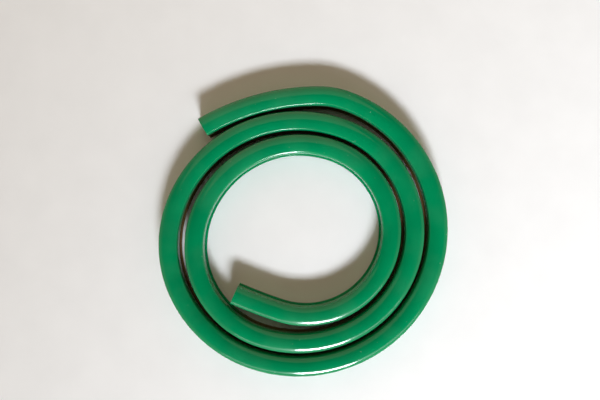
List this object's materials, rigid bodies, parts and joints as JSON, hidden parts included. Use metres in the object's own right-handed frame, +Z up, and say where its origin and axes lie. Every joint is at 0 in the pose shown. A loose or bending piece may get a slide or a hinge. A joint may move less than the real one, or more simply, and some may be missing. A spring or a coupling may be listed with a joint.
{
  "type": "flexible curve ruler",
  "caption": "Flexible drawing curve with a raised ink edge, a soft metal core and spring bands in a green plastic sheath, coiled flat, with free ends that bend.",
  "frame": {"origin": "on the ground under the middle of the coil's outline", "axes": "+Z up from the paper; +X and +Y lie in the plane that the ruler bends in"},
  "size_m": [0.1184, 0.1188, 0.009],
  "materials": {
    "green_plastic": "glossy moulded plastic, a little dusty and rubbed",
    "core_metal": "dull soft lead",
    "spring_steel": "bright rolled strip"
  },
  "bodies": {
    "coil": {"coil_inner_spring_band": "spring_steel", "coil_lead_core": "core_metal", "coil_outer_spring_band": "spring_steel", "coil_sheath": "green_plastic"},
    "outer_link_1": {"outer_link_1_inner_spring_band": "spring_steel", "outer_link_1_lead_core": "core_metal", "outer_link_1_outer_spring_band": "spring_steel", "outer_link_1_sheath": "green_plastic"},
    "outer_link_2": {"outer_link_2_inner_spring_band": "spring_steel", "outer_link_2_lead_core": "core_metal", "outer_link_2_outer_spring_band": "spring_steel", "outer_link_2_sheath": "green_plastic"},
    "outer_link_3": {"outer_link_3_inner_spring_band": "spring_steel", "outer_link_3_lead_core": "core_metal", "outer_link_3_outer_spring_band": "spring_steel", "outer_link_3_sheath": "green_plastic"},
    "outer_link_4": {"outer_link_4_inner_spring_band": "spring_steel", "outer_link_4_lead_core": "core_metal", "outer_link_4_outer_spring_band": "spring_steel", "outer_link_4_sheath": "green_plastic"},
    "outer_link_5": {"outer_link_5_inner_spring_band": "spring_steel", "outer_link_5_lead_core": "core_metal", "outer_link_5_outer_spring_band": "spring_steel", "outer_link_5_sheath": "green_plastic", "outer_end_plug": "green_plastic"},
    "inner_link_1": {"inner_link_1_inner_spring_band": "spring_steel", "inner_link_1_lead_core": "core_metal", "inner_link_1_outer_spring_band": "spring_steel", "inner_link_1_sheath": "green_plastic"},
    "inner_link_2": {"inner_link_2_inner_spring_band": "spring_steel", "inner_link_2_lead_core": "core_metal", "inner_link_2_outer_spring_band": "spring_steel", "inner_link_2_sheath": "green_plastic"},
    "inner_link_3": {"inner_link_3_inner_spring_band": "spring_steel", "inner_link_3_lead_core": "core_metal", "inner_link_3_outer_spring_band": "spring_steel", "inner_link_3_sheath": "green_plastic", "inner_end_plug": "green_plastic"}
  },
  "joints": [
    {"name": "outer_hinge_1", "type": "hinge", "parent": "coil", "child": "outer_link_1", "pos_m": [0.05495, 0.00036, 0.0045], "axis": [0, 0, -1], "range_deg": [0, 25]},
    {"name": "outer_hinge_2", "type": "hinge", "parent": "outer_link_1", "child": "outer_link_2", "pos_m": [0.04914, 0.02545, 0.0045], "axis": [0, 0, -1], "range_deg": [0, 25]},
    {"name": "outer_hinge_3", "type": "hinge", "parent": "outer_link_2", "child": "outer_link_3", "pos_m": [0.03262, 0.04523, 0.0045], "axis": [0, 0, -1], "range_deg": [0, 25]},
    {"name": "outer_hinge_4", "type": "hinge", "parent": "outer_link_3", "child": "outer_link_4", "pos_m": [0.00892, 0.05511, 0.0045], "axis": [0, 0, -1], "range_deg": [0, 25]},
    {"name": "outer_hinge_5", "type": "hinge", "parent": "outer_link_4", "child": "outer_link_5", "pos_m": [-0.01683, 0.05226, 0.0045], "axis": [0, 0, -1], "range_deg": [0, 25]},
    {"name": "inner_hinge_1", "type": "hinge", "parent": "coil", "child": "inner_link_1", "pos_m": [0.03342, -0.01292, 0.0045], "axis": [0, 0, -1], "range_deg": [0, 14]},
    {"name": "inner_hinge_2", "type": "hinge", "parent": "inner_link_1", "child": "inner_link_2", "pos_m": [0.01771, -0.03044, 0.0045], "axis": [0, 0, -1], "range_deg": [0, 14]},
    {"name": "inner_hinge_3", "type": "hinge", "parent": "inner_link_2", "child": "inner_link_3", "pos_m": [-0.00555, -0.034, 0.0045], "axis": [0, 0, -1], "range_deg": [0, 14]}
  ]
}
